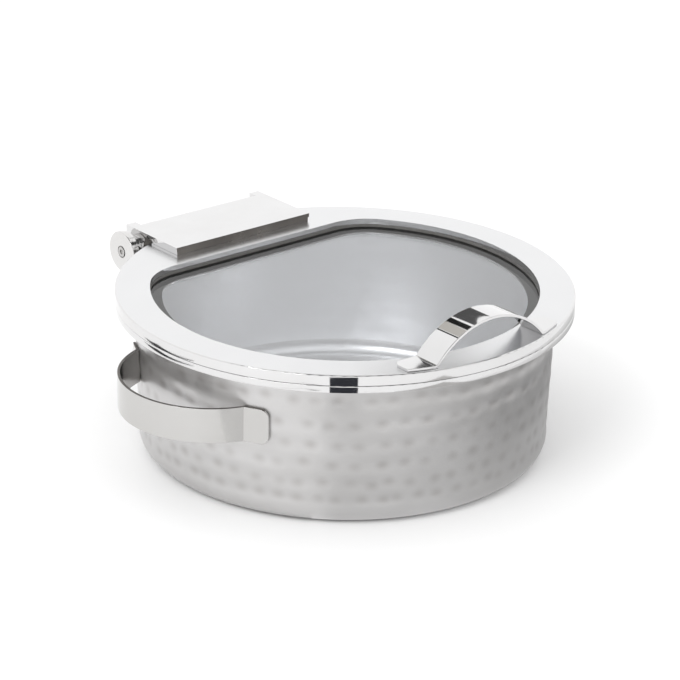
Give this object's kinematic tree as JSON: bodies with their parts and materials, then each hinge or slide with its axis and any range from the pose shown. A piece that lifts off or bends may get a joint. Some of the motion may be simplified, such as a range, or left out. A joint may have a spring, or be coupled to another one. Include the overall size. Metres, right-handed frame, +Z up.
{
  "type": "chafing dish",
  "caption": "Round hammered steel chafing dish with a hinged flat lid, a D-shaped glass window, strap handles and a flat base for an induction hob.",
  "frame": {"origin": "on the bowl's axis, on the surface that the base disc stands on", "axes": "+Z up; -Y to the front, where the lid handle is; +Y to the lid hinge; +X and -X to the side handles"},
  "size_m": [0.438, 0.4171, 0.1705],
  "materials": {
    "hammered_steel": "satin",
    "polished_steel": "polished",
    "handle_steel": "polished",
    "base_steel": "satin",
    "hinge_steel": "satin",
    "fastener_steel": "satin",
    "clear_glass": "gloss",
    "gasket_rubber": "matte",
    "pad_rubber": "matte"
  },
  "bodies": {
    "base": {"bowl_shell": "hammered_steel", "bowl_rim_ring": "polished_steel", "induction_base_disc": "base_steel", "side_handle_left": "handle_steel", "side_handle_right": "handle_steel", "hinge_saddle": "hinge_steel", "hinge_base_bracket": "hinge_steel", "hinge_bracket_screws": "fastener_steel", "hinge_end_disc_left": "hinge_steel", "hinge_end_disc_right": "hinge_steel", "hinge_end_screw_left": "fastener_steel", "hinge_end_screw_right": "fastener_steel", "hinge_shaft": "hinge_steel"},
    "lid": {"lid_frame": "polished_steel", "glass_window": "clear_glass", "glass_gasket": "gasket_rubber", "glass_retaining_ring": "base_steel", "lid_bumper_pads": "pad_rubber", "lid_handle": "handle_steel", "hinge_top_plate": "polished_steel", "hinge_backing_plate": "hinge_steel", "hinge_plate_studs": "fastener_steel", "hinge_plate_nuts": "fastener_steel", "hinge_barrel": "hinge_steel", "hinge_collar_left": "hinge_steel", "hinge_collar_right": "hinge_steel"}
  },
  "joints": [
    {"name": "lid_hinge", "type": "hinge", "parent": "base", "child": "lid", "pos_m": [0, 0.2036, 0.1287], "axis": [-1, 0, 0], "range_deg": [0, 90]}
  ]
}
